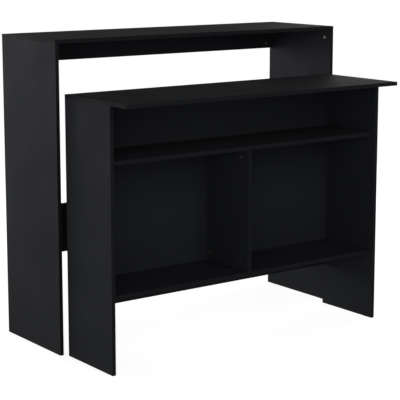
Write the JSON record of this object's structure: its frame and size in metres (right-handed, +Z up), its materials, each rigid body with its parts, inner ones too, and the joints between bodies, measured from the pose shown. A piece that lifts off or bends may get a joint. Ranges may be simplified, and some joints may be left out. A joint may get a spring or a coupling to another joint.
{
  "type": "bar table",
  "caption": "Tall open bar table frame of black faced board, with a lower shelved counter that slides in under it.",
  "frame": {"origin": "on the floor, under the middle of the box round both units, with the counter drawn out as in the picture", "axes": "+X along the width, to the right seen from the front; +Y from the counter towards the tall frame's back; +Z up"},
  "size_m": [1.366, 0.833, 1.2],
  "materials": {
    "faced_board": "black melamine facing, satin, fine texture",
    "edging": "black plastic edging, satin",
    "cam_zinc": "plated zinc casting",
    "bolt_steel": "zinc-plated steel",
    "dowel_beech": "raw beech",
    "cap_plastic": "black plastic, satin",
    "glide_nylon": "black nylon"
  },
  "bodies": {
    "tall_frame": {"tall_top": "faced_board", "tall_left_side": "faced_board", "tall_right_side": "faced_board", "tall_apron": "faced_board", "tall_stretcher": "faced_board", "tall_top_edging": "edging", "tall_left_side_edging": "edging", "tall_right_side_edging": "edging", "tall_apron_edging": "edging", "tall_stretcher_edging": "edging", "tall_cam_locks": "cam_zinc", "tall_cam_bolts": "bolt_steel", "tall_dowels": "dowel_beech", "tall_glides": "glide_nylon", "tall_cam_caps": "cap_plastic"},
    "lower_counter": {"counter_top": "faced_board", "counter_left_side": "faced_board", "counter_right_side": "faced_board", "counter_back": "faced_board", "counter_mid_shelf": "faced_board", "counter_bottom_shelf": "faced_board", "counter_divider": "faced_board", "counter_top_edging": "edging", "counter_left_side_edging": "edging", "counter_right_side_edging": "edging", "counter_back_edging": "edging", "counter_mid_shelf_edging": "edging", "counter_bottom_shelf_edging": "edging", "counter_divider_edging": "edging", "counter_cam_locks": "cam_zinc", "counter_cam_bolts": "bolt_steel", "counter_dowels": "dowel_beech", "counter_glides": "glide_nylon", "counter_cam_caps": "cap_plastic"}
  },
  "joints": [
    {"name": "counter_slide", "type": "slide", "parent": "tall_frame", "child": "lower_counter", "axis": [0, 1, 0], "range_m": [0, 0.407]}
  ]
}
